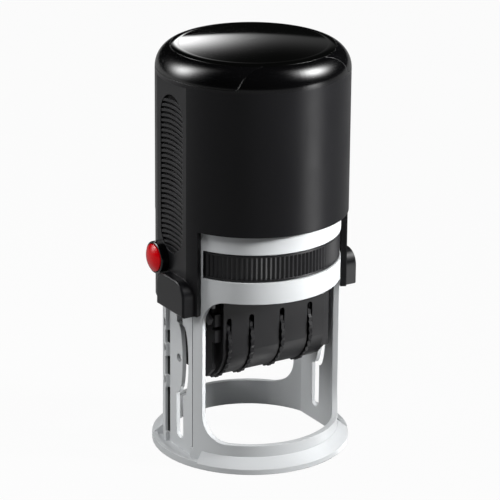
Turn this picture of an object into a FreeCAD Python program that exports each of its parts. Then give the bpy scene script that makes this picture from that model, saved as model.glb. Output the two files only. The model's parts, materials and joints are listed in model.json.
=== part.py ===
import FreeCAD, Part
import math
import os

# Round self-inking date stamp, 50 mm class.
# Origin: centre of the imprint on the table. +Z up, front of the stamp at -Y,
# lock button at -X. Rest position: handle up, die turned up under the ink pad.
# The frame's radius and height drive the rest; other sizes are walls, clearances
# and steps from them.
V = FreeCAD.Vector
X_AXIS = V(1, 0, 0)
Y_AXIS = V(0, 1, 0)
Z_AXIS = V(0, 0, 1)

# Frame
frame_radius = 25.0
frame_height = 71.6
frame_wall = 1.6
deck_wall = 1.4
frame_top_round = 2.4
slot_below_top = 7.9
slot_height = 8.1
slot_end_inset = 2.6
hoop_height = 6.2
arch_bottom = 7.3
arch_half_angle = 64.0
arch_top_round = 7.2
arch_bottom_round = 7.5
rail_width = 1.1
rail_wall = 1.2
rail_half_length = 10.0
spring_cup_radius = 9.6
spring_cup_wall = 1.0
spring_cup_depth = 5.7

# Side plates of the frame, with the cam track
plate_inset = 1.7
plate_wall = 1.2
plate_front = 6.9
plate_rear = 6.0
plate_front_lap = 0.5
plate_rear_lap = 2.6
groove_width = 1.0
groove_depth = 0.5
cam_width = 3.2
cam_bow_share = 0.8
cam_throw = 3.2
cam_top_drop = 4.2
cam_bend_drop = 8.2
cam_bend_bottom = 17.6
cam_end_wall = 4.2
cam_straight_width = 3.8
pivot_hole_radius = 1.25
pivot_hole_y = 0.4
pivot_hole_drop = 18.8
blind_depth = 0.7
long_window_width = 1.4
long_window_lap = 0.6
long_window_share = [(0.0, 0.317), (0.403, 0.535), (0.627, 0.718)]
short_window_width = 1.6
short_window_gap = 0.6
short_window_share = [(0.331, 0.384), (0.558, 0.609), (0.734, 0.789)]
notch_width = 0.9
notch_depth = 0.9

# Base ring
base_flange = 3.1
base_edge = 1.5
base_bevel_top = 4.0
base_bevel_step = 0.2
pocket_half_angle = 26.0
pocket_floor = 1.2
pocket_rim_width = 1.5
pocket_rim_height = 2.0

# Motion: the handle's press turns the die down through half a turn
axle_drop = 8.4
die_reach = 5.5

# Handle
handle_clearance = 0.35
handle_wall = 1.7
handle_flat_inset = 1.15
arm_wall = 1.25
opening_below_frame_top = 2.2
handle_opening_half_angle = 64.8
arm_below_axle = 2.5
press_headroom = 0.9
shoulder_drop = 4.0
shoulder_round = 6.6
crown_rise = 1.0
roof_wall = 1.0
flat_below_shoulder = 0.8
cap_lap = 0.6
cap_wall = 1.0
cap_inset = 6.45
cap_corner = 1.2
seam_gap = 0.12
window_inset = 4.2
window_gap = 0.1
card_wall = 0.3
spigot_radius = 6.3
spigot_length = 3.0

# Ribbed grip on the flat sides of the handle
grip_half_width = 5.9
grip_above_axle = 13.3
grip_below_flat = 3.8
grip_depth = 0.55
grip_rib_count = 30
grip_rib_width = 0.8
grip_rib_height = 0.42
grip_rib_bow = 20.0
grip_rib_reach = 3.0

# Axle hoods on the arms
hood_rise = 1.5
hood_front = 10.6
hood_rear = 4.0
hood_above_axle = 7.4
hood_front_round = 4.6
hood_rear_round = 4.0
hood_edge = 0.6
boss_radius = 2.5
boss_clearance = 0.35

# Lock button, with its catch pin off the middle
button_y = 6.0
button_above_hood = 2.8
button_radius = 3.9
button_clearance = 0.2
button_length = 1.0
button_dome = 1.2
button_travel = 1.4
button_stop_gap = 0.15
stem_radius = 1.3
stem_offset = 2.2
collar_radius = 4.6
collar_length = 2.3
collar_seat = 1.1
collar_edge = 0.5
collar_field_gap = 0.4

# Ink-pad cartridge
cartridge_gap = 0.3
tray_gap = 0.4
tray_roof = 1.2
tray_front_wall = 2.2
tray_front_inset = 8.0
tray_front_recess = 0.3
tray_lip = 0.6
pad_inset = 2.6
pad_clearance = 0.3
knurl_pitch = 1.3
knurl_depth = 0.4

# Dater
trunnion_radius = 1.5
trunnion_end_gap = 0.9
fit_clearance = 0.05
die_inset = 2.6
die_wall = 1.2
rubber_inset = 0.5
rubber_height = 2.0
rubber_web = 1.2
rubber_ring = 0.8
rubber_ring_gap = 1.0
rubber_window_half_width = 3.4
window_half_width = 4.4
window_end_gap = 0.5
yoke_wall = 1.2
cheek_inset = 3.4
cheek_wall = 1.1
cheek_half_width = 9.6
cheek_chamfer = 3.2
cheek_below_wheel_axle = 10.4
flange_inset = 0.9
flange_wall = 1.2
block_reach = 1.4
block_wall = 2.0
block_height = 3.6
block_step = 1.1
block_above_wheel_axle = 1.1
star_radius = 11.2
star_root = 8.6
star_wall = 1.0
star_lobes = 12
star_lobe_share = 0.5
star_headroom = 0.2

# Date bands and thumbwheels
wheel_axle_drop = 12.6
wheel_axle_radius = 1.2
wheel_radius = 13.0
wheel_wall = 1.0
wheel_tooth = 0.5
wheel_teeth = 36
drum_clearance = 0.08
wheel_place_share = [-0.858, -0.426, 0.166, 0.710]
band_width_share = [0.7795553, 0.8832280, 0.9494970, 0.8997751]
band_side_gap = 0.4
band_wall = 0.9
band_nose = 3.0
band_drum = 8.4
bridge_clearance = 0.1
bridge_headroom = 0.3

# Comb covers: flat above, round the thumbwheels below
wheel_proud = 1.0
cover_step = 0.3
cover_wall = 1.2
cover_left_gap = 1.1
cover_right_gap = 0.5
cover_sweep = 74.0
slot_width = 1.6
slot_headroom = 0.7

# Return spring
spring_radius = 8.0
spring_wire = 1.1
spring_end_gap = 0.2

# Every cut runs past its faces by this much
overrun = 1.0

# Heights that follow from the sizes above
pad_slot_top = frame_height - slot_below_top
pad_slot_bottom = pad_slot_top - slot_height
arch_top = pad_slot_bottom - hoop_height
spring_cup_floor = frame_height - spring_cup_depth
axle_height = pad_slot_bottom - axle_drop
cam_top = axle_height - cam_top_drop
cam_bend_top = axle_height - cam_bend_drop
pivot_hole_z = axle_height - pivot_hole_drop
press_travel = axle_height - die_reach
cartridge_bottom = pad_slot_bottom + cartridge_gap
cartridge_top = pad_slot_top - cartridge_gap
arm_bottom = axle_height - arm_below_axle
handle_opening_top = frame_height - opening_below_frame_top
roof_under = frame_height + press_travel + press_headroom
roof_top = roof_under + roof_wall
shoulder_start = roof_under - shoulder_drop
crown_height = shoulder_start + shoulder_round + crown_rise
cap_bottom = shoulder_start + cap_lap
handle_flat_top = shoulder_start - flat_below_shoulder
grip_bottom = axle_height + grip_above_axle
grip_top = handle_flat_top - grip_below_flat
hood_top = axle_height + hood_above_axle
button_z = hood_top + button_above_hood
stem_y = button_y - stem_offset
die_face = axle_height + die_reach
rubber_base = die_face - rubber_height
die_base = rubber_base - die_wall
yoke_base = die_base - yoke_wall
wheel_axle_height = axle_height - wheel_axle_drop
cheek_bottom = wheel_axle_height - cheek_below_wheel_axle
cover_face = wheel_radius - wheel_proud
cover_radius = cover_face + cover_step
slot_rise = math.sqrt(wheel_radius ** 2 - (cover_face - cover_wall) ** 2)
slot_top = wheel_axle_height + slot_rise + slot_headroom

# Radii and half widths that follow from them
frame_bore = frame_radius - frame_wall
pad_slot_half_width = frame_radius - slot_end_inset
plate_outer = frame_radius - plate_inset
plate_inner = plate_outer - plate_wall
base_radius = frame_radius + base_flange
base_bevel_radius = frame_radius + base_bevel_step
handle_bore = frame_radius + handle_clearance
handle_radius = handle_bore + handle_wall
handle_flat = handle_radius - handle_flat_inset
handle_inner_flat = handle_flat - arm_wall
hood_outer = handle_radius + hood_rise
crown_radius = handle_radius - shoulder_round
window_radius = handle_radius - window_inset
cap_half_width = handle_radius - cap_inset
tray_radius = frame_bore - tray_gap
tray_half_width = plate_inner - tray_gap
pad_radius = tray_radius - pad_inset
die_radius = frame_bore - die_inset
rubber_radius = die_radius - rubber_inset
cheek_inner = die_radius - cheek_inset
cheek_outer = cheek_inner + cheek_wall
flange_reach = die_radius - flange_inset
trunnion_reach = plate_inner - trunnion_end_gap
window_half_length = cheek_inner - window_end_gap
cover_left = cheek_inner - cover_left_gap
cover_right = cheek_inner - cover_right_gap
wheel_places = [share * window_half_length for share in wheel_place_share]
band_starts = [place + wheel_wall / 2 + band_side_gap for place in wheel_places]
band_limits = [place - wheel_wall / 2 for place in wheel_places[1:]] + [window_half_length]
band_rooms = [limit - start for start, limit in zip(band_starts, band_limits)]
band_widths = [share * room for share, room in zip(band_width_share, band_rooms)]


def box(x0, x1, y0, y1, z0, z1):
    return Part.makeBox(x1 - x0, y1 - y0, z1 - z0, V(x0, y0, z0))


def disc(radius, z0, z1):
    return Part.makeCylinder(radius, z1 - z0, V(0, 0, z0))


def pin(radius, x0, x1, y, z):
    return Part.makeCylinder(radius, x1 - x0, V(x0, y, z), X_AXIS)


def prism_x(points, x0, x1):
    """Solid with the outline (y, z) between two X planes."""
    wire = Part.makePolygon([V(x0, y, z) for y, z in points + points[:1]])
    return Part.Face(wire).extrude(V(x1 - x0, 0, 0))


def wedge(centre_angle, half_angle, radius, z0, z1):
    """Sector of a disc; the angle counts from the front towards +X."""
    start = centre_angle - half_angle - 90
    sector = Part.makeCylinder(radius, z1 - z0, V(0, 0, z0), Z_AXIS, 2 * half_angle)
    sector.rotate(V(0, 0, 0), Z_AXIS, start)
    return sector


def revolved(edges):
    """Revolve a closed profile, drawn in the XZ plane, about the Z axis."""
    return Part.Face(Part.Wire(edges)).revolve(V(0, 0, 0), Z_AXIS, 360)


def line(a, b):
    return Part.LineSegment(V(a[0], 0, a[1]), V(b[0], 0, b[1])).toShape()


def quarter(centre, radius):
    """Quarter circle in the XZ plane, from the +X side up to the +Z side."""
    half = radius * math.sqrt(0.5)
    cx, cz = centre
    start = V(cx + radius, 0, cz)
    middle = V(cx + half, 0, cz + half)
    return Part.Arc(start, middle, V(cx, 0, cz + radius)).toShape()


def mirrored_y(shape):
    return shape.mirror(V(0, 0, 0), Y_AXIS)


def arch_cutter(centre_angle):
    """Opening of one arch: radial sides, rounded corners."""
    reach = base_radius + overrun
    cutter = wedge(centre_angle, arch_half_angle, reach, arch_bottom, arch_top)
    cutter = cutter.cut(disc(frame_bore - overrun, arch_bottom, arch_top))
    for level, rounding in ((arch_top, arch_top_round), (arch_bottom, arch_bottom_round)):
        corners = [
            edge for edge in cutter.Edges
            if isinstance(edge.Curve, Part.Line)
            and all(abs(vertex.Point.z - level) < fit_clearance for vertex in edge.Vertexes)
        ]
        cutter = cutter.makeFillet(rounding, corners)
    return cutter


def cam_slot(x0, x1):
    """S-shaped cam track: straight, out to the front, back and straight down."""
    rise = cam_bend_top - cam_bend_bottom
    middle = cam_bend_bottom + rise / 2
    half = cam_width / 2
    steps = 12
    centre = []
    for step in range(steps + 1):
        turn = math.pi * step / steps
        y = -cam_throw * math.sin(turn) ** cam_bow_share
        centre.append((y, middle + rise / 2 * math.cos(turn)))
    front = [(y - half, z) for y, z in centre]
    rear = [(y + half, z) for y, z in centre]
    track = prism_x(front + rear[::-1], x0, x1)
    upper = box(x0, x1, -half, half, cam_bend_top, cam_top)
    upper = upper.fuse(pin(half, x0, x1, 0, cam_top))
    low = cam_straight_width / 2
    end = cam_end_wall + low
    lower = box(x0, x1, -low, low, end, cam_bend_bottom)
    lower = lower.fuse(pin(low, x0, x1, 0, end))
    return track.fuse([upper, lower])


def on_leg(share):
    """Height on the leg, from the base ring up to the axle."""
    return base_bevel_top + share * (axle_height - base_bevel_top)


def rear_windows(x0, x1):
    """Blind windows behind the plate: long ones, and short ones a step further out."""
    near = plate_rear - long_window_lap
    far = plate_rear + short_window_gap
    spans = [(near, long_window_width, long_window_share), (far, short_window_width, short_window_share)]
    cut = []
    for y0, width, table in spans:
        for low, high in table:
            cut.append(box(x0, x1, y0, y0 + width, on_leg(low), on_leg(high)))
    skin = disc(base_radius, base_bevel_top, axle_height)
    skin = skin.cut(disc(frame_radius - notch_depth, base_bevel_top, axle_height))
    edge = frame_radius * math.cos(math.radians(arch_half_angle))
    for low, high in short_window_share:
        cut.append(skin.common(box(x0, x1, edge - notch_width, base_radius, on_leg(low), on_leg(high))))
    return cut


def make_base_ring():
    profile = [
        (frame_bore, 0),
        (base_radius, 0),
        (base_radius, base_edge),
        (base_bevel_radius, base_bevel_top),
        (frame_bore, base_bevel_top),
    ]
    edges = [line(a, b) for a, b in zip(profile, profile[1:] + profile[:1])]
    ring = revolved(edges)
    reach = base_radius + overrun
    inner = base_radius - pocket_rim_width
    for side in (-90, 90):
        sector = wedge(side, pocket_half_angle, reach, pocket_floor, base_bevel_top + overrun)
        keep = disc(base_radius, 0, pocket_rim_height).cut(disc(inner, 0, pocket_rim_height))
        ring = ring.cut(sector.cut(keep))
    rim = disc(base_radius, 0, pocket_rim_height).cut(disc(inner, 0, pocket_rim_height))
    for side in (-90, 90):
        ring = ring.fuse(rim.common(wedge(side, pocket_half_angle, reach, 0, pocket_rim_height)))
    return ring


def make_base_frame():
    reach = frame_radius + overrun
    shell = disc(frame_radius, 0, frame_height)
    rim = [edge for edge in shell.Edges if edge.BoundBox.ZMin > frame_height - fit_clearance]
    form = shell.makeFillet(frame_top_round, rim)
    shell = form.cut(disc(frame_bore, -overrun, frame_height - deck_wall))
    groove = -plate_front - groove_width
    for side in (1, -1):
        x0, x1 = sorted((side * plate_inner, side * plate_outer))
        plate = box(x0, x1, groove - plate_front_lap, plate_rear + plate_rear_lap, 0, frame_height)
        x2, x3 = sorted((side * plate_outer, side * reach))
        flat = box(x2, x3, -plate_front, plate_rear, -overrun, frame_height + overrun)
        shell = shell.cut(flat).fuse(plate.common(form))
    shell = shell.cut(arch_cutter(0)).cut(arch_cutter(180))
    shell = shell.fuse(make_base_ring())
    cuts = []
    for side in (1, -1):
        x0, x1 = sorted((side * (plate_inner - overrun), side * reach))
        cuts.append(cam_slot(x0, x1))
        cuts.append(pin(pivot_hole_radius, x0, x1, pivot_hole_y, pivot_hole_z))
        x4, x5 = sorted((side * (plate_outer - groove_depth), side * reach))
        cuts.append(box(x4, x5, groove, -plate_front, base_bevel_top, frame_height))
        x6, x7 = sorted((side * (plate_outer - blind_depth), side * reach))
        cuts.extend(rear_windows(x6, x7))
    half = pad_slot_half_width
    cuts.append(box(-half, half, -reach, 0, pad_slot_bottom, pad_slot_top))
    shell = shell.cut(cuts)
    for side in (1, -1):
        x0, x1 = sorted((side * (plate_inner - rail_width), side * (plate_inner + fit_clearance)))
        rail = box(x0, x1, -rail_half_length, rail_half_length, pad_slot_bottom - rail_wall, pad_slot_bottom)
        shell = shell.fuse(rail.common(disc(frame_bore + fit_clearance, 0, frame_height)))
    cup = disc(spring_cup_radius, spring_cup_floor - spring_cup_wall, frame_height)
    well = disc(spring_cup_radius - spring_cup_wall, spring_cup_floor, frame_height + overrun)
    return shell.fuse(cup).cut(well).removeSplitter()


def make_return_spring():
    z0 = spring_cup_floor
    z1 = roof_under - spring_end_gap
    return disc(spring_radius, z0, z1).cut(disc(spring_radius - spring_wire, z0 - overrun, z1 + overrun))


def handle_outer(inset):
    """Outer form of the handle with its rounded shoulder and low crown."""
    radius = handle_radius - inset
    rounding = shoulder_round - inset
    nose = crown_radius
    z1 = shoulder_start + rounding
    top = crown_height - inset
    ball = (nose ** 2 + crown_rise ** 2) / (2 * crown_rise)
    middle = top - ball + math.sqrt(ball ** 2 - (nose / 2) ** 2)
    crown = Part.Arc(V(nose, 0, z1), V(nose / 2, 0, middle), V(0, 0, top)).toShape()
    return revolved([
        line((0, arm_bottom), (radius, arm_bottom)),
        line((radius, arm_bottom), (radius, shoulder_start)),
        quarter((nose, shoulder_start), rounding),
        crown,
        line((0, top), (0, arm_bottom)),
    ])


def handle_bore_form():
    """Space inside the handle, flat at both sides, with a rounded roof edge."""
    z0 = arm_bottom - overrun
    nose = crown_radius
    rounding = handle_bore - nose
    z1 = shoulder_start + rounding
    form = revolved([
        line((0, z0), (handle_bore, z0)),
        line((handle_bore, z0), (handle_bore, shoulder_start)),
        quarter((nose, shoulder_start), rounding),
        line((nose, z1), (0, z1)),
        line((0, z1), (0, z0)),
    ])
    flat = handle_inner_flat
    return form.common(box(-flat, flat, -handle_radius, handle_radius, z0, roof_under))


def hood(side):
    """Raised housing over the axle on one arm, arched at the rear."""
    a = hood_front_round * math.sqrt(0.5)
    b = hood_rear_round * math.sqrt(0.5)
    x = side * (handle_inner_flat + handle_clearance)
    front, rear = -hood_front, hood_rear
    fr, rr, top = hood_front_round, hood_rear_round, hood_top

    def seg(p, q):
        return Part.LineSegment(V(x, p[0], p[1]), V(x, q[0], q[1])).toShape()

    def bend(p, m, q):
        return Part.Arc(V(x, p[0], p[1]), V(x, m[0], m[1]), V(x, q[0], q[1])).toShape()

    front_mid = (front + fr - a, top - fr + a)
    rear_mid = (rear - rr + b, top - rr + b)
    outline = Part.Wire([
        seg((front, arm_bottom), (front, top - fr)),
        bend((front, top - fr), front_mid, (front + fr, top)),
        seg((front + fr, top), (rear - rr, top)),
        bend((rear - rr, top), rear_mid, (rear, top - rr)),
        seg((rear, top - rr), (rear, arm_bottom)),
        seg((rear, arm_bottom), (front, arm_bottom)),
    ])
    solid = Part.Face(outline).extrude(V(side * hood_outer - x, 0, 0))
    rims = [e for e in solid.Edges if all(abs(abs(v.Point.x) - hood_outer) < fit_clearance for v in e.Vertexes)]
    return solid.makeFillet(hood_edge, rims)


def grip_ribs(side):
    """Bowed ribs on the floor of the grip recess."""
    floor = handle_flat - grip_depth
    x0, x1 = sorted((side * (floor - fit_clearance), side * (floor + grip_rib_height)))
    pitch = (grip_top - grip_bottom) / (grip_rib_count + 1)
    field = grip_outline(side, x0, x1)
    half = grip_half_width
    ribs = []
    for number in range(grip_rib_count):
        z = grip_bottom + pitch * (number + 1)
        outer = pin(grip_rib_bow, x0, x1, 0, z - grip_rib_bow)
        inner = pin(grip_rib_bow - grip_rib_width, x0 - overrun, x1 + overrun, 0, z - grip_rib_bow)
        window = box(x0, x1, -half, half, z - grip_rib_reach, z + grip_rib_width)
        ribs.append(outer.cut(inner).common(window).common(field))
    return ribs


def grip_outline(side, x0, x1):
    """Long field with round ends; on the left the collar of the lock button bites into it."""
    r = grip_half_width
    field = box(x0, x1, -r, r, grip_bottom + r, grip_top - r)
    field = field.fuse([pin(r, x0, x1, 0, grip_bottom + r), pin(r, x0, x1, 0, grip_top - r)])
    if side < 0:
        around = collar_radius + collar_field_gap
        field = field.cut(pin(around, x0 - overrun, x1 + overrun, button_y, button_z))
    return field


def cap_space(side, gap):
    """Room of one shoulder cap: straight sides, rounded lower corners."""
    reach = side * (handle_radius + overrun)
    x0, x1 = sorted((0, reach))
    half = cap_half_width + gap
    low = cap_bottom - gap
    space = box(x0, x1, -half, half, low, crown_height + overrun)
    corners = [
        edge for edge in space.Edges
        if all(abs(vertex.Point.z - low) < fit_clearance for vertex in edge.Vertexes)
        and abs(edge.Vertexes[0].Point.y - edge.Vertexes[-1].Point.y) < fit_clearance
    ]
    return space.makeFillet(cap_corner + gap, corners)


def shoulder_cap(side, gap=0):
    """Gloss end piece that wraps the shoulder at one side."""
    skin = handle_outer(0).cut(handle_outer(cap_wall))
    return skin.common(cap_space(side, gap)).cut(disc(window_radius, cap_bottom - gap, crown_height + overrun))


def make_handle_shell():
    shell = handle_outer(0)
    reach = handle_radius + overrun
    z0 = arm_bottom - overrun
    for side in (1, -1):
        x0, x1 = sorted((side * handle_flat, side * reach))
        shell = shell.cut(box(x0, x1, -reach, reach, z0, handle_flat_top))
        shell = shell.fuse(hood(side))
    shell = shell.cut(handle_bore_form())
    for centre in (0, 180):
        shell = shell.cut(wedge(centre, handle_opening_half_angle, reach + overrun, z0, handle_opening_top))
    for side in (1, -1):
        floor = handle_flat - grip_depth
        x0, x1 = sorted((side * floor, side * reach))
        shell = shell.cut(grip_outline(side, x0, x1))
        shell = shell.fuse(grip_ribs(side))
        shell = shell.cut(shoulder_cap(side, seam_gap))
        x2, x3 = sorted((side * (plate_outer + boss_clearance), side * (handle_inner_flat + fit_clearance)))
        shell = shell.fuse(pin(boss_radius, x2, x3, 0, axle_height))
    shell = shell.cut(disc(window_radius, roof_top, crown_height + overrun))
    shell = shell.fuse(disc(spigot_radius, roof_under - spigot_length, roof_under + fit_clearance))
    hole = stem_radius + button_clearance
    return shell.cut(pin(hole, -reach, -handle_inner_flat + overrun, stem_y, button_z))


def make_index_card():
    return disc(window_radius - window_gap, roof_top, roof_top + card_wall)


def make_index_window():
    z0 = roof_top + card_wall
    return handle_outer(0).common(disc(window_radius - window_gap, z0, crown_height + overrun))


def make_lock_collar(shell):
    x0 = -handle_flat - collar_length
    x1 = -handle_flat + collar_seat
    body = pin(collar_radius, x0, x1, button_y, button_z)
    rim = [e for e in body.Edges if all(abs(v.Point.x - x0) < fit_clearance for v in e.Vertexes)]
    body = body.makeFillet(collar_edge, rim)
    bore = pin(button_radius + button_clearance, x0 - overrun, -handle_flat, button_y, button_z)
    hole = pin(stem_radius + button_clearance, x0, x1 + overrun, stem_y, button_z)
    return body.cut([bore, hole]).cut(shell)


def make_lock_button():
    seat = -handle_flat - button_travel - button_stop_gap
    face = seat - button_length
    body = pin(button_radius, face, seat, button_y, button_z)
    ball = (button_radius ** 2 + button_dome ** 2) / (2 * button_dome)
    dome = Part.makeSphere(ball, V(face - button_dome + ball, button_y, button_z))
    dome = dome.common(pin(button_radius, face - button_dome, face, button_y, button_z))
    stem = pin(stem_radius, seat, -handle_inner_flat - handle_clearance, stem_y, button_z)
    return body.fuse([dome, stem]).removeSplitter()


def tray_front(depth, z0, z1):
    """Front of the cartridge between two heights, with upright grooves of a depth."""
    half = pad_slot_half_width - cartridge_gap
    outer = frame_radius - tray_front_recess
    span = 2 * math.asin(half / outer)
    count = int(span * outer / knurl_pitch)
    points = []
    for number in range(2 * count + 1):
        turn = -span / 2 + span * number / (2 * count)
        r = outer if number % 2 else outer - depth
        points.append(V(r * math.sin(turn), -r * math.cos(turn), z0))
    inner = outer - tray_front_wall
    edge = min(half, inner)
    points.append(V(edge, -tray_front_inset, z0))
    points.append(V(-edge, -tray_front_inset, z0))
    front = Part.Face(Part.makePolygon(points + points[:1])).extrude(V(0, 0, z1 - z0))
    return front.cut(disc(inner, z0 - overrun, z1 + overrun))


def make_pad_tray():
    z0, z1 = cartridge_bottom, cartridge_top
    width = tray_half_width
    tray = disc(tray_radius, z0, z1)
    tray = tray.common(box(-width, width, -tray_radius, tray_radius, z0, z1))
    tray = tray.fuse([
        tray_front(knurl_depth, z0 + tray_lip, z1 - tray_lip),
        tray_front(0, z0, z0 + tray_lip),
        tray_front(0, z1 - tray_lip, z1),
    ])
    hollow = disc(pad_radius + pad_clearance, z0 - overrun, z1 - tray_roof)
    return tray.cut(hollow).removeSplitter()


def make_ink_pad():
    return disc(pad_radius, cartridge_bottom + pad_clearance, cartridge_top - tray_roof)


def date_window(half_width, z0, z1):
    length = window_half_length
    return box(-length, length, -half_width, half_width, z0 - overrun, z1 + overrun)


def make_die_rubber():
    z0, z1 = rubber_base, die_face
    base = disc(rubber_radius, z0, z0 + rubber_web)
    ring = disc(rubber_radius, z0, z1).cut(disc(rubber_radius - rubber_ring, z0, z1))
    inner = rubber_radius - rubber_ring - rubber_ring_gap
    second = disc(inner, z0, z1).cut(disc(inner - rubber_ring, z0, z1))
    gap = rubber_window_half_width
    length = window_half_length
    rim = rubber_ring
    frame = box(-length - rim, length + rim, -gap - rim, gap + rim, z0, z1)
    frame = frame.common(disc(inner, z0, z1))
    return base.fuse([ring, second, frame]).cut(date_window(gap, z0, z1)).removeSplitter()


def make_die_plate():
    plate = disc(die_radius, die_base, rubber_base)
    return plate.cut(date_window(window_half_width, die_base, rubber_base))


def make_dater_yoke():
    """Round carrier under the die, with a stiffening rib along each side of the window."""
    plate = disc(die_radius, yoke_base, die_base)
    return plate.cut(date_window(window_half_width, yoke_base, die_base))


def make_cheek(side):
    """End plate of the dater: a flange at the front on the right, two blocks on the left."""
    x0, x1 = sorted((side * cheek_inner, side * cheek_outer))
    w = cheek_half_width
    chamfer = cheek_chamfer
    low = cheek_bottom
    outline = [
        (-w, yoke_base), (-w, low + chamfer), (-w + chamfer, low),
        (w - chamfer, low), (w, low + chamfer), (w, yoke_base),
    ]
    cheek = prism_x(outline, x0, x1)
    if side > 0:
        wall = flange_wall
        cheek = cheek.fuse(box(x0, flange_reach, -w, -w + wall, low + chamfer, yoke_base))
    else:
        for number in range(2):
            z = wheel_axle_height + block_above_wheel_axle + number * (block_height + block_step)
            block = box(-cheek_outer, block_wall - cheek_outer, -w - block_reach, -w, z, z + block_height)
            root = box(-cheek_outer, -cheek_inner, -w - block_reach, -w + block_wall, z, z + block_height)
            cheek = cheek.fuse(block.fuse(root))
    hole = pin(trunnion_radius + fit_clearance, x0 - overrun, x1 + overrun, 0, axle_height)
    axle = pin(wheel_axle_radius + fit_clearance, x0 - overrun, x1 + overrun, 0, wheel_axle_height)
    return cheek.cut([hole, axle]).removeSplitter()


def make_star(side):
    """Lobed hub on the trunnion, cut off under the yoke."""
    x0, x1 = sorted((side * cheek_outer, side * (cheek_outer + star_wall)))
    hub = pin(star_root, x0, x1, 0, axle_height)
    half = star_root * math.sin(math.pi / star_lobes) * star_lobe_share
    for number in range(star_lobes):
        lobe = box(x0, x1, -half, half, axle_height, axle_height + star_radius)
        lobe.rotate(V(0, 0, axle_height), X_AXIS, 360 * number / star_lobes)
        hub = hub.fuse(lobe)
    hub = hub.cut(pin(trunnion_radius + fit_clearance, x0 - overrun, x1 + overrun, 0, axle_height))
    far = axle_height + star_radius + overrun
    reach = star_radius + overrun
    top = box(x0 - overrun, x1 + overrun, -reach, reach, yoke_base - star_headroom, far)
    hub = hub.cut(top)
    if side > 0:
        flange = -cheek_half_width + flange_wall + star_headroom
        hub = hub.cut(box(x0 - overrun, x1 + overrun, -reach, flange, axle_height - reach, far))
    return hub.removeSplitter()


def make_trunnion(side):
    x0, x1 = sorted((side * cheek_inner, side * trunnion_reach))
    rod = pin(trunnion_radius, x0, x1, 0, axle_height)
    below = box(x0 - overrun, x1 + overrun, -star_radius, star_radius, yoke_base, die_face)
    return rod.cut(below)


def belt(nose, drum, x0, x1):
    """Closed loop over a small nose at the die and a large drum below."""
    top = die_face - band_nose
    low = wheel_axle_height
    lean = math.asin((drum - nose) / (top - low))
    c, s = math.cos(lean), math.sin(lean)

    def at(radius, z, side):
        return V(x0, side * radius * c, z + radius * s)

    loop = [
        Part.Arc(at(nose, top, -1), V(x0, 0, top + nose), at(nose, top, 1)).toShape(),
        Part.LineSegment(at(nose, top, 1), at(drum, low, 1)).toShape(),
        Part.Arc(at(drum, low, 1), V(x0, 0, low - drum), at(drum, low, -1)).toShape(),
        Part.LineSegment(at(drum, low, -1), at(nose, top, -1)).toShape(),
    ]
    return Part.Face(Part.Wire(loop)).extrude(V(x1 - x0, 0, 0))


def band_span(number):
    x0 = band_starts[number]
    return x0, x0 + band_widths[number]


def make_date_band(number):
    x0, x1 = band_span(number)
    outer = belt(band_nose, band_drum, x0, x1)
    return outer.cut(belt(band_nose - band_wall, band_drum - band_wall, x0, x1))


def make_date_wheel(number):
    """Thumbwheel: toothed rim beside the band and a drum inside it."""
    place = wheel_places[number]
    x0, x1 = place - wheel_wall / 2, place + wheel_wall / 2
    points = []
    for tooth in range(2 * wheel_teeth):
        turn = math.pi * tooth / wheel_teeth
        r = wheel_radius if tooth % 2 else wheel_radius - wheel_tooth
        points.append((r * math.sin(turn), wheel_axle_height + r * math.cos(turn)))
    rim = prism_x(points, x0, x1)
    drum = band_drum - band_wall - drum_clearance
    body = pin(drum, x0, band_span(number)[1], 0, wheel_axle_height)
    bore = pin(wheel_axle_radius + fit_clearance, x0 - overrun, cheek_inner, 0, wheel_axle_height)
    return rim.fuse(body).cut(bore)


def make_wheel_axle():
    return pin(wheel_axle_radius, -cheek_outer, cheek_outer, 0, wheel_axle_height)


def make_band_bridge():
    radius = band_nose - band_wall - bridge_clearance
    z = die_face - band_nose
    reach = window_half_length - fit_clearance
    bottom = wheel_axle_height + wheel_radius + bridge_headroom
    return pin(radius, -reach, reach, 0, z).common(box(-reach, reach, -radius, radius, bottom, die_face))


def make_comb_cover(side):
    """Cover with a slot for each thumbwheel: flat above, round the wheels, open at the bottom."""
    left, right = -cover_left, cover_right
    inner = cover_face - cover_wall
    z = wheel_axle_height
    ring = pin(cover_radius, left, right, 0, z)
    ring = ring.cut(pin(cover_radius - cover_wall, left - overrun, right + overrun, 0, z))
    reach = cover_radius + overrun
    turn = math.radians(cover_sweep)
    edge = (-reach * math.cos(turn), z - reach * math.sin(turn))
    sector = prism_x([(0, z), (-reach, z), (-reach, edge[1]), edge], left, right)
    sector = sector.common(box(left, right, -cover_face, 0, z - reach, z))
    low = z - math.sqrt(cover_radius ** 2 - cover_face ** 2)
    cover = ring.common(sector).fuse(box(left, right, -cover_face, -inner, low, yoke_base))
    half = slot_width / 2
    for place in wheel_places:
        slot = box(place - half, place + half, -reach, 0, z - reach, slot_top - half)
        head = Part.makeCylinder(half, reach, V(place, -reach, slot_top - half), Y_AXIS)
        cover = cover.cut(slot.fuse(head))
    if side > 0:
        cover = mirrored_y(cover)
    return cover.removeSplitter()


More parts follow.
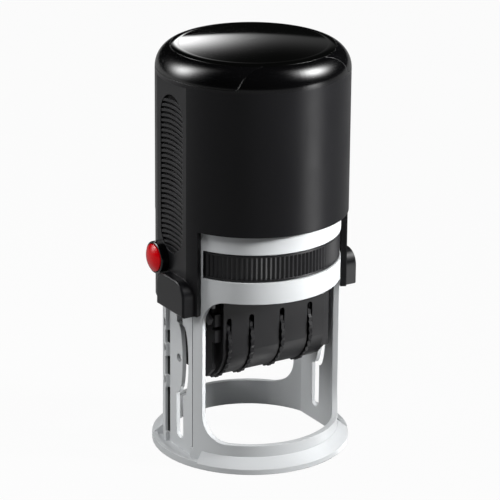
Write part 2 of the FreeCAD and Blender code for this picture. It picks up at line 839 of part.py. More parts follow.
def main():
    shell = make_handle_shell()
    parts = {
        "base_frame": make_base_frame(),
        "return_spring": make_return_spring(),
        "handle_shell": shell,
        "shoulder_cap_left": shoulder_cap(-1),
        "shoulder_cap_right": shoulder_cap(1),
        "index_card": make_index_card(),
        "index_window": make_index_window(),
        "lock_collar": make_lock_collar(shell),
        "lock_button": make_lock_button(),
        "pad_tray": make_pad_tray(),
        "ink_pad": make_ink_pad(),
        "dater_yoke": make_dater_yoke(),
        "die_plate": make_die_plate(),
        "die_rubber": make_die_rubber(),
        "band_bridge": make_band_bridge(),
        "comb_cover_front": make_comb_cover(-1),
        "comb_cover_rear": make_comb_cover(1),
        "cheek_left": make_cheek(-1),
        "cheek_right": make_cheek(1),
        "flip_star_left": make_star(-1),
        "flip_star_right": make_star(1),
        "trunnion_left": make_trunnion(-1),
        "trunnion_right": make_trunnion(1),
        "wheel_axle": make_wheel_axle(),
    }
    for number in range(len(wheel_places)):
        parts["date_band_%d" % (number + 1)] = make_date_band(number)
        parts["date_wheel_%d" % (number + 1)] = make_date_wheel(number)
    os.makedirs("parts", exist_ok=True)
    for name, shape in parts.items():
        solids = len(shape.Solids)
        print(name, solids, shape.isValid(), round(shape.Volume, 1))
        shape.exportStep("parts/%s.step" % name)


main()
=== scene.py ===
import bpy
import json
import math
from mathutils import Matrix, Vector

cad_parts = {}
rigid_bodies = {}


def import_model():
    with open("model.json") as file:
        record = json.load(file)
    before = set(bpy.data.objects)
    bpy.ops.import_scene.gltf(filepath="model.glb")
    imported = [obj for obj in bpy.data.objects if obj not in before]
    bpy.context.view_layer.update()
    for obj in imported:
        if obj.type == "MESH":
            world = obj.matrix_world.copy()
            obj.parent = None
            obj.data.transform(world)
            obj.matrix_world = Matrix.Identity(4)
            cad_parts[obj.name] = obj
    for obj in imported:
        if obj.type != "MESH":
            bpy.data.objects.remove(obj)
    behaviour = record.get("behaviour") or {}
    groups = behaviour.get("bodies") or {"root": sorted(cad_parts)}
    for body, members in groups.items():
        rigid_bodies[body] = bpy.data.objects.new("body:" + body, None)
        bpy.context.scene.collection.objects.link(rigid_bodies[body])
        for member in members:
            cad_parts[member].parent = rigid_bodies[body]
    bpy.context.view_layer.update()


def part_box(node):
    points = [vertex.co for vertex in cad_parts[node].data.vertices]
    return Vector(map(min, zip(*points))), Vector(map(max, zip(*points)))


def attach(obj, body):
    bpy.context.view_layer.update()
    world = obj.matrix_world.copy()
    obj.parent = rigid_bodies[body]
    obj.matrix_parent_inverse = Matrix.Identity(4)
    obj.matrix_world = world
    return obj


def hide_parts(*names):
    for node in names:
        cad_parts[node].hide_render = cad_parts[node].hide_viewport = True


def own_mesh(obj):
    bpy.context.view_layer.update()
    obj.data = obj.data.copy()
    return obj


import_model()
MM = 0.001

# Camera
# A long lens a little under a metre away, 31 degrees round towards the button side,
# looking down at the stamp by about 20 degrees.
camera_distance = 760 * MM
camera_height = 328.58 * MM
camera_azimuth = math.radians(31.685)
camera_pitch = math.radians(19.703)
camera_roll = math.radians(0.494)
camera_turn = math.radians(-0.0332)
focal_pixels = 2875.52
camera_data = bpy.data.cameras.new("product_camera")
camera_data.sensor_width = 36.0
camera_data.sensor_fit = "HORIZONTAL"
camera_data.lens = camera_data.sensor_width * focal_pixels / 500
camera_data.clip_start = 0.01
camera = bpy.data.objects.new("product_camera", camera_data)
bpy.context.collection.objects.link(camera)
place = Vector((-math.sin(camera_azimuth), -math.cos(camera_azimuth), 0)) * camera_distance
place.z = camera_height
ahead = Vector((math.sin(camera_azimuth + camera_turn), math.cos(camera_azimuth + camera_turn), 0))
level_right = Vector((ahead.y, -ahead.x, 0))
look = ahead * math.cos(camera_pitch) - Vector((0, 0, 1)) * math.sin(camera_pitch)
level_up = level_right.cross(look)
right = level_right * math.cos(camera_roll) + level_up * math.sin(camera_roll)
up = level_up * math.cos(camera_roll) - level_right * math.sin(camera_roll)
axes = Matrix((right, up, -look)).transposed().to_4x4()
camera.matrix_world = Matrix.Translation(place) @ axes
bpy.context.scene.camera = camera

# Base frame
# Light grey ABS, injection moulded in one shot: base ring, two legs with the cam
# track, the band with the cartridge slot and the spring deck. Satin tool finish.


def new_socket(group, name, kind, way, value=None):
    socket = group.interface.new_socket(name=name, in_out=way, socket_type=kind)
    if value is not None:
        socket.default_value = value


def moulded_surface_group():
    """Grain of a spark-eroded tool, faint flow marks and handling smudges."""
    group = bpy.data.node_groups.new("moulded_surface", "ShaderNodeTree")
    new_socket(group, "Grain Scale", "NodeSocketFloat", "INPUT", 6000.0)
    new_socket(group, "Flow Scale", "NodeSocketFloat", "INPUT", 60.0)
    new_socket(group, "Smudge Scale", "NodeSocketFloat", "INPUT", 90.0)
    for name in ("Height", "Tone", "Smudge", "Scratch"):
        new_socket(group, name, "NodeSocketFloat", "OUTPUT")
    nodes, links = group.nodes, group.links
    given = nodes.new("NodeGroupInput")
    result = nodes.new("NodeGroupOutput")
    where = nodes.new("ShaderNodeTexCoord")
    grain = nodes.new("ShaderNodeTexNoise")
    grain.inputs["Detail"].default_value = 3.0
    links.new(where.outputs["Object"], grain.inputs["Vector"])
    links.new(given.outputs["Grain Scale"], grain.inputs["Scale"])
    pits = nodes.new("ShaderNodeTexVoronoi")
    pits.feature = "SMOOTH_F1"
    links.new(where.outputs["Object"], pits.inputs["Vector"])
    links.new(given.outputs["Grain Scale"], pits.inputs["Scale"])
    both = nodes.new("ShaderNodeMath")
    both.operation = "MULTIPLY"
    links.new(grain.outputs["Fac"], both.inputs[0])
    links.new(pits.outputs["Distance"], both.inputs[1])
    links.new(both.outputs[0], result.inputs["Height"])
    stretch = nodes.new("ShaderNodeMapping")
    stretch.inputs["Scale"].default_value = (1.0, 1.0, 0.35)
    links.new(where.outputs["Object"], stretch.inputs["Vector"])
    flow = nodes.new("ShaderNodeTexNoise")
    flow.inputs["Detail"].default_value = 4.0
    flow.inputs["Distortion"].default_value = 0.6
    links.new(stretch.outputs["Vector"], flow.inputs["Vector"])
    links.new(given.outputs["Flow Scale"], flow.inputs["Scale"])
    links.new(flow.outputs["Fac"], result.inputs["Tone"])
    smudge = nodes.new("ShaderNodeTexNoise")
    smudge.inputs["Detail"].default_value = 5.0
    smudge.inputs["Roughness"].default_value = 0.62
    links.new(where.outputs["Object"], smudge.inputs["Vector"])
    links.new(given.outputs["Smudge Scale"], smudge.inputs["Scale"])
    ramp = nodes.new("ShaderNodeMapRange")
    ramp.inputs["From Min"].default_value = 0.42
    ramp.inputs["From Max"].default_value = 0.68
    links.new(smudge.outputs["Fac"], ramp.inputs["Value"])
    links.new(ramp.outputs["Result"], result.inputs["Smudge"])
    lengthen = nodes.new("ShaderNodeMapping")
    lengthen.inputs["Rotation"].default_value = (0.4, 0.2, 0.7)
    lengthen.inputs["Scale"].default_value = (1.0, 1.0, 0.03)
    links.new(where.outputs["Object"], lengthen.inputs["Vector"])
    lines = nodes.new("ShaderNodeTexNoise")
    lines.inputs["Scale"].default_value = 1900.0
    lines.inputs["Detail"].default_value = 1.0
    links.new(lengthen.outputs["Vector"], lines.inputs["Vector"])
    thin = nodes.new("ShaderNodeMapRange")
    thin.inputs["From Min"].default_value = 0.70
    thin.inputs["From Max"].default_value = 0.78
    links.new(lines.outputs["Fac"], thin.inputs["Value"])
    links.new(thin.outputs["Result"], result.inputs["Scratch"])
    return group


def moulded_plastic(name, colours, roughness, grain, bump, scale=(6000.0, 60.0, 90.0), edge=0.15,
                    specular=0.5):
    """Plastic of two near tones; roughness runs between two values over the smudges.

    Grain is the depth of the tool's texture and edge the rounding of edges, both in mm.
    """
    material = bpy.data.materials.new(name)
    material.use_nodes = True
    nodes, links = material.node_tree.nodes, material.node_tree.links
    shader = nodes["Principled BSDF"]
    surface = nodes.new("ShaderNodeGroup")
    surface.node_tree = moulded_surface
    for key, value in zip(("Grain Scale", "Flow Scale", "Smudge Scale"), scale):
        surface.inputs[key].default_value = value
    tones = nodes.new("ShaderNodeMix")
    tones.data_type = "RGBA"
    tones.inputs["A"].default_value = (*colours[0], 1)
    tones.inputs["B"].default_value = (*colours[1], 1)
    links.new(surface.outputs["Tone"], tones.inputs["Factor"])
    links.new(tones.outputs["Result"], shader.inputs["Base Color"])
    spread = nodes.new("ShaderNodeMapRange")
    spread.inputs["To Min"].default_value = roughness[0]
    spread.inputs["To Max"].default_value = roughness[1]
    links.new(surface.outputs["Smudge"], spread.inputs["Value"])
    scratch_roughness = 0.12
    worn = nodes.new("ShaderNodeMath")
    worn.operation = "MULTIPLY_ADD"
    worn.inputs[1].default_value = scratch_roughness
    links.new(surface.outputs["Scratch"], worn.inputs[0])
    links.new(spread.outputs["Result"], worn.inputs[2])
    links.new(worn.outputs[0], shader.inputs["Roughness"])
    relief = nodes.new("ShaderNodeBump")
    relief.inputs["Strength"].default_value = bump
    relief.inputs["Distance"].default_value = grain * MM
    links.new(surface.outputs["Height"], relief.inputs["Height"])
    links.new(relief.outputs["Normal"], shader.inputs["Normal"])
    softened = nodes.new("ShaderNodeBevel")
    softened.samples = 6
    softened.inputs["Radius"].default_value = edge * MM
    links.new(softened.outputs["Normal"], relief.inputs["Normal"])
    shader.inputs["Specular IOR Level"].default_value = specular
    shader.inputs["IOR"].default_value = 1.5
    return material


def calculate(tree, operation, *values):
    """One Math node; each value is a number or an output of another node."""
    node = tree.nodes.new("ShaderNodeMath")
    node.operation = operation
    for socket, value in zip(node.inputs, values):
        if isinstance(value, (int, float)):
            socket.default_value = value
        else:
            tree.links.new(value, socket)
    return node.outputs[0]


def recess_mask_group():
    """1 in shallow recesses of the two side faces, 0 elsewhere.

    Floor and Face are the depths of a recess and of the face as distances from the middle
    plane, Near and Reach its limits to the front and rear, and Facing the least share of
    the normal that points to the side.
    """
    group = bpy.data.node_groups.new("recess_mask", "ShaderNodeTree")
    for name in ("Floor", "Face", "Fade", "Near", "Reach", "Facing"):
        new_socket(group, name, "NodeSocketFloat", "INPUT", 0.0)
    new_socket(group, "Mask", "NodeSocketFloat", "OUTPUT")
    nodes, links = group.nodes, group.links
    given = nodes.new("NodeGroupInput")
    result = nodes.new("NodeGroupOutput")
    where = nodes.new("ShaderNodeTexCoord")
    place = nodes.new("ShaderNodeSeparateXYZ")
    links.new(where.outputs["Object"], place.inputs["Vector"])
    facing = nodes.new("ShaderNodeSeparateXYZ")
    links.new(where.outputs["Normal"], facing.inputs["Vector"])

    out = calculate(group, "ABSOLUTE", place.outputs["X"])
    above = calculate(group, "GREATER_THAN", out, given.outputs["Floor"])
    fade = nodes.new("ShaderNodeMapRange")
    fade.inputs["To Min"].default_value = 1.0
    fade.inputs["To Max"].default_value = 0.0
    links.new(out, fade.inputs["Value"])
    fading = calculate(group, "SUBTRACT", given.outputs["Face"], given.outputs["Fade"])
    links.new(fading, fade.inputs["From Min"])
    links.new(given.outputs["Face"], fade.inputs["From Max"])
    across = calculate(group, "ABSOLUTE", place.outputs["Y"])
    inside = calculate(group, "MULTIPLY", calculate(group, "LESS_THAN", across, given.outputs["Reach"]),
                       calculate(group, "GREATER_THAN", across, given.outputs["Near"]))
    outward = calculate(group, "GREATER_THAN", calculate(group, "ABSOLUTE", facing.outputs["X"]),
                        given.outputs["Facing"])
    deep = calculate(group, "MULTIPLY", above, fade.outputs["Result"])
    mask = calculate(group, "MULTIPLY", deep, calculate(group, "MULTIPLY", inside, outward))
    links.new(mask, result.inputs["Mask"])
    return group


def paint_shade_into_recesses(material, floor_x, face_x, fade, near_y, reach_y, facing, depth):
    """Darken the colour of the recesses with painted shade, and dull their gloss where dust gathers."""
    nodes, links = material.node_tree.nodes, material.node_tree.links
    shader = nodes["Principled BSDF"]
    recess = nodes.new("ShaderNodeGroup")
    recess.node_tree = recess_mask
    for key, value in zip(("Floor", "Face", "Fade", "Near", "Reach"),
                          (floor_x, face_x, fade, near_y, reach_y)):
        recess.inputs[key].default_value = value * MM
    recess.inputs["Facing"].default_value = facing
    share = nodes.new("ShaderNodeMapRange")
    share.inputs["To Min"].default_value = 1.0
    share.inputs["To Max"].default_value = 1.0 - depth
    links.new(recess.outputs["Mask"], share.inputs["Value"])
    # Painted shade: inside the recesses the colour is scaled down by depth.
    painted_shade = nodes.new("ShaderNodeVectorMath")
    painted_shade.operation = "SCALE"
    links.new(shader.inputs["Base Color"].links[0].from_socket, painted_shade.inputs[0])
    links.new(share.outputs["Result"], painted_shade.inputs["Scale"])
    links.new(painted_shade.outputs["Vector"], shader.inputs["Base Color"])
    dusty_roughness = 0.95
    dull = nodes.new("ShaderNodeMix")
    dull.inputs["B"].default_value = dusty_roughness
    links.new(recess.outputs["Mask"], dull.inputs["Factor"])
    links.new(shader.inputs["Roughness"].links[0].from_socket, dull.inputs["A"])
    links.new(dull.outputs["Result"], shader.inputs["Roughness"])


def dress(node, material):
    """Give a CAD node its finish."""
    piece = bpy.data.objects[node]
    piece.data.materials.clear()
    piece.data.materials.append(material)


moulded_surface = moulded_surface_group()
recess_mask = recess_mask_group()
frame_grey = moulded_plastic(
    "frame_grey", ((0.515, 0.53, 0.54), (0.57, 0.585, 0.595)), (0.32, 0.44), grain=0.03, bump=0.25,
    scale=(7000.0, 45.0, 70.0), edge=0.25, specular=0.2,
)
# Painted shade in the grooves and slots along the edges of the side plates.
paint_shade_into_recesses(frame_grey, floor_x=22.4, face_x=23.3, fade=0.04, near_y=5.35, reach_y=8.3, facing=-1.0,
               depth=0.9)
dress("base_frame", frame_grey)

# Handle shell
# Black ABS, one moulding with the arms, the axle hoods and the bowed ribs of the grips.
# The walls have a fine satin texture and the rounded shoulder is polished.
handle_black = moulded_plastic(
    "handle_black", ((0.005, 0.005, 0.0056), (0.008, 0.008, 0.009)), (0.28, 0.36), grain=0.02, bump=0.2,
    scale=(6500.0, 40.0, 60.0), edge=0.25, specular=0.2,
)
polished_from, polished_to = 109.5 * MM, 111.5 * MM
nodes, links = handle_black.node_tree.nodes, handle_black.node_tree.links
where = nodes.new("ShaderNodeTexCoord")
apart = nodes.new("ShaderNodeSeparateXYZ")
links.new(where.outputs["Object"], apart.inputs["Vector"])
shader = nodes["Principled BSDF"]


def along_height(below, above):
    """A value that changes where the satin wall turns into the polished shoulder."""
    node = nodes.new("ShaderNodeMapRange")
    node.interpolation_type = "SMOOTHSTEP"
    node.inputs["From Min"].default_value = polished_from
    node.inputs["From Max"].default_value = polished_to
    node.inputs["To Min"].default_value = below
    node.inputs["To Max"].default_value = above
    links.new(apart.outputs["Z"], node.inputs["Value"])
    return node.outputs["Result"]


rough = nodes.new("ShaderNodeMath")
rough.operation = "MULTIPLY"
links.new(shader.inputs["Roughness"].links[0].from_socket, rough.inputs[0])
links.new(along_height(1.0, 0.5), rough.inputs[1])
links.new(rough.outputs[0], shader.inputs["Roughness"])
# Painted shade: the colour of the polished shoulder is darkened to a fifth of the wall's.
painted_shoulder_shade = nodes.new("ShaderNodeVectorMath")
painted_shoulder_shade.operation = "SCALE"
links.new(shader.inputs["Base Color"].links[0].from_socket, painted_shoulder_shade.inputs[0])
links.new(along_height(1.0, 0.2), painted_shoulder_shade.inputs["Scale"])
links.new(painted_shoulder_shade.outputs["Vector"], shader.inputs["Base Color"])
links.new(along_height(0.0, 0.6), shader.inputs["Coat Weight"])
shader.inputs["Coat Roughness"].default_value = 0.17
# Painted shade in the shallow recesses of the handle's side faces.
paint_shade_into_recesses(handle_black, floor_x=25.2, face_x=25.7, fade=0.2, near_y=-1.0, reach_y=7.5, facing=0.6,
               depth=0.9)
dress("handle_shell", handle_black)

# Shoulder caps and collar
# Black ABS from a polished tool, snapped over the shoulders of the shell, and the
# collar pressed into the wall round the lock button.
polished_black = moulded_plastic(
    "polished_black", ((0.001, 0.001, 0.0012), (0.002, 0.002, 0.0022)), (0.16, 0.22), grain=0.01, bump=0.1,
    scale=(2500.0, 50.0, 80.0),
)
for node in ("shoulder_cap_left", "shoulder_cap_right", "lock_collar"):
    dress(node, polished_black)

# Window and card
# Polished clear styrene disc over a plain dark card.
window_clear = moulded_plastic(
    "window_clear", ((0.0008, 0.0008, 0.0008), (0.0016, 0.0018, 0.0016)), (0.04, 0.07), grain=0.01,
    bump=0.03, scale=(1500.0, 30.0, 60.0),
)
dress("index_window", window_clear)
dress("index_card", window_clear)

# Lock button
# Red acetal dome with a bright skin.
button_red = moulded_plastic(
    "button_red", ((0.50, 0.000, 0.003), (0.58, 0.001, 0.005)), (0.10, 0.16), grain=0.01, bump=0.1,
    scale=(3000.0, 200.0, 300.0), specular=0.2,
)
dress("lock_button", button_red)

# Ink-pad cartridge
# Black polypropylene tray with vertical ribs on its front, which slides out of the
# frame like a drawer.
cartridge_black = moulded_plastic(
    "cartridge_black", ((0.006, 0.006, 0.007), (0.009, 0.009, 0.010)), (0.34, 0.46), grain=0.03, bump=0.3,
)
dress("pad_tray", cartridge_black)

# Ink pad
# Round foam pad under the roof of the tray, covered with felt that is soaked with dark
# blue ink; its face is crowned towards the die and its rim is drawn in.
pad_low, pad_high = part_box("ink_pad")
pad_radius = (pad_high[0] - pad_low[0]) / 2
pad_crown, pad_rim = 0.5 * MM, 1.1 * MM
pad_wall = pad_high[2] - pad_low[2] - pad_crown
bpy.ops.object.select_all(action="DESELECT")
bpy.ops.mesh.primitive_cylinder_add(
    vertices=96, radius=pad_radius, depth=pad_wall,
    location=((pad_low[0] + pad_high[0]) / 2, (pad_low[1] + pad_high[1]) / 2, pad_high[2] - pad_wall / 2),
)
ink_pad = bpy.context.active_object
ink_pad.name = "felt_ink_pad"
bpy.ops.object.transform_apply(location=True, rotation=True, scale=True)
for face in ink_pad.data.polygons:
    face.select = face.normal.z < -0.9
bpy.ops.object.mode_set(mode="EDIT")
bpy.ops.mesh.select_mode(type="FACE")
bpy.ops.mesh.inset(thickness=pad_rim, depth=0.6 * pad_crown)
bpy.ops.mesh.inset(thickness=3 * pad_rim, depth=0.3 * pad_crown)
bpy.ops.mesh.inset(thickness=5 * pad_rim, depth=0.1 * pad_crown)
bpy.ops.object.mode_set(mode="OBJECT")
rounding = ink_pad.modifiers.new("rounding", "BEVEL")
rounding.width = 0.5 * MM
rounding.segments = 4
rounding.limit_method = "ANGLE"
rounding.angle_limit = math.radians(40)
bpy.ops.object.modifier_apply(modifier="rounding")
bpy.ops.object.shade_smooth_by_angle(angle=math.radians(50))
felt_ink = bpy.data.materials.new("felt_ink")
felt_ink.use_nodes = True
nodes, links = felt_ink.node_tree.nodes, felt_ink.node_tree.links
shader = nodes["Principled BSDF"]
where = nodes.new("ShaderNodeTexCoord")
fibres = nodes.new("ShaderNodeTexNoise")
fibres.inputs["Scale"].default_value = 2600.0
fibres.inputs["Detail"].default_value = 6.0
fibres.inputs["Distortion"].default_value = 2.5
links.new(where.outputs["Object"], fibres.inputs["Vector"])
pools = nodes.new("ShaderNodeTexNoise")
pools.inputs["Scale"].default_value = 110.0
pools.inputs["Detail"].default_value = 3.0
links.new(where.outputs["Object"], pools.inputs["Vector"])
soaked = nodes.new("ShaderNodeMix")
soaked.data_type = "RGBA"
soaked.inputs["A"].default_value = (0.010, 0.012, 0.050, 1)
soaked.inputs["B"].default_value = (0.030, 0.034, 0.110, 1)
links.new(pools.outputs["Fac"], soaked.inputs["Factor"])
links.new(soaked.outputs["Result"], shader.inputs["Base Color"])
wetness = nodes.new("ShaderNodeMapRange")
wetness.inputs["To Min"].default_value = 0.45
wetness.inputs["To Max"].default_value = 0.85
links.new(pools.outputs["Fac"], wetness.inputs["Value"])
links.new(wetness.outputs["Result"], shader.inputs["Roughness"])
nap = nodes.new("ShaderNodeBump")
nap.inputs["Strength"].default_value = 0.8
nap.inputs["Distance"].default_value = 0.12 * MM
links.new(fibres.outputs["Fac"], nap.inputs["Height"])
links.new(nap.outputs["Normal"], shader.inputs["Normal"])
ink_pad.data.materials.append(felt_ink)
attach(ink_pad, "cartridge")
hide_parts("ink_pad")

# Dater
# Dark grey nylon mouldings: yoke, covers and cheeks.
dater_grey = moulded_plastic(
    "dater_grey", ((0.006, 0.006, 0.0066), (0.010, 0.0098, 0.0108)), (0.36, 0.48), grain=0.04, bump=0.4,
    specular=0.2,
)
for node in ("dater_yoke", "die_plate", "band_bridge", "comb_cover_front", "comb_cover_rear",
             "cheek_left", "cheek_right"):
    dress(node, dater_grey)

# Flip stars
# Stars at the ends of the dater, coloured light grey as a painted highlight for the glints on
# their lobes; the lobes run in the pockets of the legs.
star_highlight_grey = moulded_plastic(
    "star_highlight_grey", ((0.13, 0.13, 0.135), (0.17, 0.17, 0.175)), (0.34, 0.46), grain=0.03, bump=0.3,
)
for side in ("left", "right"):
    dress("flip_star_" + side, star_highlight_grey)

# Text rubber and thumbwheels
# The die is a moulded rubber plate with a raised ring; the thumbwheels are nylon.
rubber_black = moulded_plastic(
    "rubber_black", ((0.020, 0.020, 0.022), (0.030, 0.030, 0.032)), (0.60, 0.75), grain=0.05, bump=0.5,
)
dress("die_rubber", rubber_black)
for number in range(1, 5):
    dress("date_wheel_%d" % number, dater_grey)

# Date bands
# Rubber bands for day, month, year and shift, stretched from the drum of each thumbwheel
# over the nose under the die, with raised figures in mirror image on a recessed web.
web_depth, figure_relief, figure_height, side_margin = 0.35 * MM, 0.25 * MM, 2.8 * MM, 0.35 * MM
figure_pitch, drum_sink = 2.1 * MM, 0.15 * MM
nose_radius, drum_radius = 3.0 * MM, 8.4 * MM
band_rows = (
    [("%02d" % (5 + 2 * row % 28)) for row in range(16)],
    [("%02d" % (1 + row % 12)) for row in range(16)],
    [str(2024 + row) for row in range(16)],
    [str(row % 10) for row in range(16)],
)
for number, rows in enumerate(band_rows, start=1):
    band_node = bpy.data.objects["date_band_%d" % number]
    band_low, band_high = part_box("date_band_%d" % number)
    drum_height = band_low[2] + drum_radius
    nose_height = band_high[2] - nose_radius
    reach = nose_height - drum_height
    tilt = math.acos((drum_radius - nose_radius) / reach)
    nose_arc, straight = nose_radius * tilt, reach * math.sin(tilt)
    pitch = 2 * (nose_arc + straight + drum_radius * (math.pi - tilt)) / len(rows)
    bpy.ops.object.select_all(action="DESELECT")
    band = band_node.copy()
    band.data = band_node.data.copy()
    band.name = ("day", "month", "year", "shift")[number - 1] + "_band"
    bpy.context.collection.objects.link(band)
    band.select_set(True)
    bpy.context.view_layer.objects.active = band
    bpy.ops.object.mode_set(mode="EDIT")
    bpy.ops.mesh.select_all(action="SELECT")
    bpy.ops.mesh.remove_doubles(threshold=0.001 * MM)
    bpy.ops.mesh.select_all(action="DESELECT")
    bpy.ops.object.mode_set(mode="OBJECT")
    for face in band.data.polygons:
        height = min(max(face.center.z, drum_height), nose_height)
        outwards = face.normal.y * face.center.y + face.normal.z * (face.center.z - height)
        face.select = abs(face.normal.x) < 0.5 and outwards > 0
    bpy.ops.object.mode_set(mode="EDIT")
    bpy.ops.mesh.select_mode(type="FACE")
    bpy.ops.transform.shrink_fatten(value=-web_depth, use_even_offset=True)
    bpy.ops.object.mode_set(mode="OBJECT")
    figures = []
    for row, words in enumerate(rows):
        along = (row - len(rows) / 2) * pitch
        run = abs(along)
        if run < nose_arc:
            angle = run / nose_radius
            y, z = nose_radius * math.sin(angle), nose_height + nose_radius * math.cos(angle)
        elif run < nose_arc + straight:
            angle = tilt
            run -= nose_arc
            y = nose_radius * math.sin(angle) + run * math.cos(angle)
            z = nose_height + nose_radius * math.cos(angle) - run * math.sin(angle)
        else:
            angle = tilt + (run - nose_arc - straight) / drum_radius
            y, z = drum_radius * math.sin(angle), drum_height + drum_radius * math.cos(angle)
            z -= drum_sink * math.cos(angle)
            y -= drum_sink * math.sin(angle)
        side = math.copysign(1, along)
        bpy.ops.object.select_all(action="DESELECT")
        bpy.ops.object.text_add(location=(0, 0, 0))
        figure = bpy.context.active_object
        figure.data.body = words
        figure.data.align_x = "CENTER"
        figure.data.align_y = "CENTER"
        figure.data.size = figure_height
        figure.data.extrude = figure_relief
        figure.data.resolution_u = 3
        bpy.ops.object.convert(target="MESH")
        figure = bpy.context.active_object
        width = max(vertex.co.x for vertex in figure.data.vertices) * 2
        tall = max(vertex.co.y for vertex in figure.data.vertices)
        tall -= min(vertex.co.y for vertex in figure.data.vertices)
        wanted = min(band_high[0] - band_low[0] - 2 * side_margin, figure_pitch * len(words))
        figure.scale = (-wanted / width, figure_height / tall, 1)
        figure.rotation_euler = (-angle * side, 0, 0)
        inwards = Vector((0, -side * math.sin(angle), -math.cos(angle))) * figure_relief
        figure.location = Vector(((band_low[0] + band_high[0]) / 2, side * y, z)) + inwards
        bpy.ops.object.transform_apply(location=True, rotation=True, scale=True)
        bpy.ops.object.mode_set(mode="EDIT")
        bpy.ops.mesh.select_all(action="SELECT")
        bpy.ops.mesh.remove_doubles(threshold=0.001 * MM)
        bpy.ops.mesh.normals_make_consistent(inside=False)
        bpy.ops.object.mode_set(mode="OBJECT")
        figures.append(figure)
    bpy.ops.object.select_all(action="DESELECT")
    for figure in figures:
        figure.select_set(True)
    band.select_set(True)
    bpy.context.view_layer.objects.active = band
    bpy.ops.object.join()
    band.data.materials.clear()
    band.data.materials.append(rubber_black)
    bpy.ops.object.shade_smooth_by_angle(angle=math.radians(35))
    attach(band, "dater")
    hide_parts("date_band_%d" % number)

# Steel pins
# Axle of the thumbwheels and the two trunnions: drawn steel, bright.
pin_steel = moulded_plastic(
    "pin_steel", ((0.55, 0.55, 0.56), (0.62, 0.62, 0.63)), (0.22, 0.34), grain=0.01, bump=0.2,
)
pin_steel.node_tree.nodes["Principled BSDF"].inputs["Metallic"].default_value = 1.0
for node in ("wheel_axle", "trunnion_left", "trunnion_right"):
    dress(node, pin_steel)

# Return spring
# Compression spring of drawn steel wire between the cup in the frame's deck and the roof
# of the handle. It is one long coil; the real spring closes as the handle goes down, this coil keeps its
# length.
spring_low, spring_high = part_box("return_spring")
spring_wire, spring_turns = 1.1 * MM, 5
spring_span = spring_high[2] - spring_low[2]
spring_radius = (spring_high[0] - spring_low[0]) / 2 - spring_wire / 2
bpy.ops.object.select_all(action="DESELECT")
bpy.ops.mesh.primitive_circle_add(
    vertices=16, radius=spring_wire / 2, location=(spring_radius, 0, spring_low[2] + spring_wire / 2),
    rotation=(math.radians(90), 0, 0),
)
spring = bpy.context.active_object
spring.name = "coil_spring"
bpy.ops.object.transform_apply(location=True, rotation=True, scale=True)
coil = spring.modifiers.new("coil", "SCREW")
coil.angle = math.radians(360)
coil.screw_offset = (spring_span - spring_wire) / spring_turns
coil.iterations = spring_turns
coil.steps = 40
coil.render_steps = 40
bpy.ops.object.modifier_apply(modifier="coil")
bpy.ops.object.mode_set(mode="EDIT")
bpy.ops.mesh.select_all(action="SELECT")
bpy.ops.mesh.remove_doubles(threshold=0.001 * MM)
bpy.ops.mesh.fill_holes(sides=0)
bpy.ops.mesh.select_all(action="SELECT")
bpy.ops.mesh.normals_make_consistent(inside=False)
bpy.ops.object.mode_set(mode="OBJECT")
bpy.ops.object.shade_smooth_by_angle(angle=math.radians(50))
spring.data.materials.append(pin_steel)
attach(spring, "frame")
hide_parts("return_spring")
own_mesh(spring)

# Studio
# Pale table and white surroundings. The stamp stands among black flags, so that its skin
# mirrors only a few soft lights: one behind it, one high at each side and a card in front.


def soft_light(tree, turn, rise, azimuth, elevation, width, height, level):
    """A round glow that is brightest at a turn and rise in degrees and fades like a bell."""
    across = calculate(tree, "SUBTRACT", turn, math.radians(azimuth))
    across = calculate(tree, "WRAP", across, math.pi, -math.pi)
    across = calculate(tree, "DIVIDE", across, math.radians(width))
    along = calculate(tree, "SUBTRACT", rise, math.radians(elevation))
    along = calculate(tree, "DIVIDE", along, math.radians(height))
    both = calculate(tree, "ADD", calculate(tree, "MULTIPLY", across, across),
                     calculate(tree, "MULTIPLY", along, along))
    bell = calculate(tree, "EXPONENT", calculate(tree, "MULTIPLY", both, -0.5))
    return calculate(tree, "MULTIPLY", bell, level)


flag_level, sky_level = 0.30, 0.005
floor_width, floor_gap = 6.0, 0.2 * MM
floor_grey = 0.32
shadow_share = 0.04
any_height = 1000
bpy.ops.object.select_all(action="DESELECT")
bpy.ops.mesh.primitive_plane_add(size=floor_width, location=(0, 0, -floor_gap))
floor = bpy.context.active_object
floor.name = "studio_floor"
floor_paint = bpy.data.materials.new("studio_floor")
floor_paint.use_nodes = True
tree = floor_paint.node_tree
nodes, links = tree.nodes, tree.links
plain = nodes["Principled BSDF"]
plain.inputs["Base Color"].default_value = (floor_grey, floor_grey, floor_grey, 1)
plain.inputs["Roughness"].default_value = 0.9
plain.inputs["Specular IOR Level"].default_value = 0.0
glow = nodes.new("ShaderNodeEmission")
rays = nodes.new("ShaderNodeLightPath")
mixed = nodes.new("ShaderNodeMixShader")
links.new(calculate(tree, "MULTIPLY", rays.outputs["Is Camera Ray"], 1 - shadow_share), mixed.inputs["Fac"])
links.new(plain.outputs["BSDF"], mixed.inputs[1])
links.new(glow.outputs["Emission"], mixed.inputs[2])
where = nodes.new("ShaderNodeTexCoord")
apart = nodes.new("ShaderNodeSeparateXYZ")
links.new(where.outputs["Object"], apart.inputs["Vector"])
backwards = calculate(tree, "MULTIPLY", apart.outputs["Y"], -1.0)
turn = calculate(tree, "ARCTAN2", apart.outputs["X"], backwards)
card = calculate(tree, "ADD", soft_light(tree, turn, turn, 41, 41, 7, any_height, 5.0),
                 soft_light(tree, turn, turn, -132, -132, 20, any_height, 0.4))
gloss = nodes.new("ShaderNodeEmission")
links.new(calculate(tree, "ADD", card, flag_level), gloss.inputs["Strength"])
chosen = nodes.new("ShaderNodeMixShader")
links.new(rays.outputs["Is Glossy Ray"], chosen.inputs["Fac"])
links.new(mixed.outputs["Shader"], chosen.inputs[1])
links.new(gloss.outputs["Emission"], chosen.inputs[2])
links.new(chosen.outputs["Shader"], nodes["Material Output"].inputs["Surface"])
floor.data.materials.append(floor_paint)

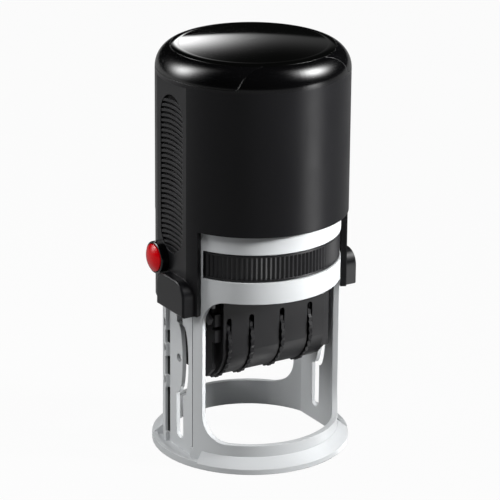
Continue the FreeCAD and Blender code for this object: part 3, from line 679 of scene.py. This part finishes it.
# Surroundings: white to the camera and through glass, dim for the rest, and the soft
# lights for the gloss of the stamp. The light behind it ends sharply at its lower edge.
world = bpy.data.worlds.new("studio")
bpy.context.scene.world = world
world.use_nodes = True
tree = world.node_tree
nodes, links = tree.nodes, tree.links
backdrop = nodes["Background"]
backdrop.inputs["Color"].default_value = (1, 1, 1, 1)
rays = nodes.new("ShaderNodeLightPath")
clear = calculate(tree, "MAXIMUM", rays.outputs["Is Camera Ray"], rays.outputs["Is Transmission Ray"])
ambient = 0.05
level = calculate(tree, "MULTIPLY_ADD", clear, 1 - ambient, ambient)
direction = nodes.new("ShaderNodeTexCoord")
apart = nodes.new("ShaderNodeSeparateXYZ")
links.new(direction.outputs["Generated"], apart.inputs["Vector"])
backwards = calculate(tree, "MULTIPLY", apart.outputs["Y"], -1.0)
turn = calculate(tree, "ARCTAN2", apart.outputs["X"], backwards)
rise = calculate(tree, "ARCSINE", apart.outputs["Z"])
rear = calculate(tree, "ADD", soft_light(tree, turn, rise, 153.5, 14, 2.3, 3.7, 5.5),
                 soft_light(tree, turn, rise, 147, 14, 6, 3.5, 0.13))
table_edge = nodes.new("ShaderNodeMapRange")
table_edge.inputs["From Min"].default_value = math.radians(11.8)
table_edge.inputs["From Max"].default_value = math.radians(13.2)
links.new(rise, table_edge.inputs["Value"])
rear = calculate(tree, "MULTIPLY", rear, table_edge.outputs["Result"])
upper_left = soft_light(tree, turn, rise, -132, 30, 10, 12, 18)
upper_right = soft_light(tree, turn, rise, 62, 40, 12, 9, 30)
glows = calculate(tree, "ADD", calculate(tree, "ADD", rear, upper_left), upper_right)
glows = calculate(tree, "ADD", glows, sky_level)
strength = nodes.new("ShaderNodeMix")
links.new(rays.outputs["Is Glossy Ray"], strength.inputs["Factor"])
links.new(level, strength.inputs["A"])
links.new(glows, strength.inputs["B"])
links.new(strength.outputs["Result"], backdrop.inputs["Strength"])


def softbox(name, azimuth, elevation, distance, width, height, power, aim=60, spread=180):
    """Area lamp that faces the middle of the stamp and shows in no reflection."""
    data = bpy.data.lights.new(name, "AREA")
    data.shape = "RECTANGLE"
    data.size = width
    data.size_y = height
    data.energy = power
    data.spread = math.radians(spread)
    lamp = bpy.data.objects.new(name, data)
    bpy.context.collection.objects.link(lamp)
    turn, rise = math.radians(azimuth), math.radians(elevation)
    away = Vector((math.sin(turn) * math.cos(rise), -math.cos(turn) * math.cos(rise), math.sin(rise)))
    lamp.location = away * distance + Vector((0, 0, aim * MM))
    lamp.rotation_euler = away.to_track_quat("Z", "Y").to_euler()
    lamp.visible_glossy = False


softbox("key_right", 50, 18, distance=0.9, width=0.20, height=0.20, power=0.5, aim=125, spread=20)
softbox("fill_left", -118, 22, distance=1.0, width=0.5, height=0.5, power=5.4)
softbox("top_left", -45, 55, distance=0.9, width=0.35, height=0.35, power=3.8)

bpy.context.scene.view_settings.view_transform = "Standard"
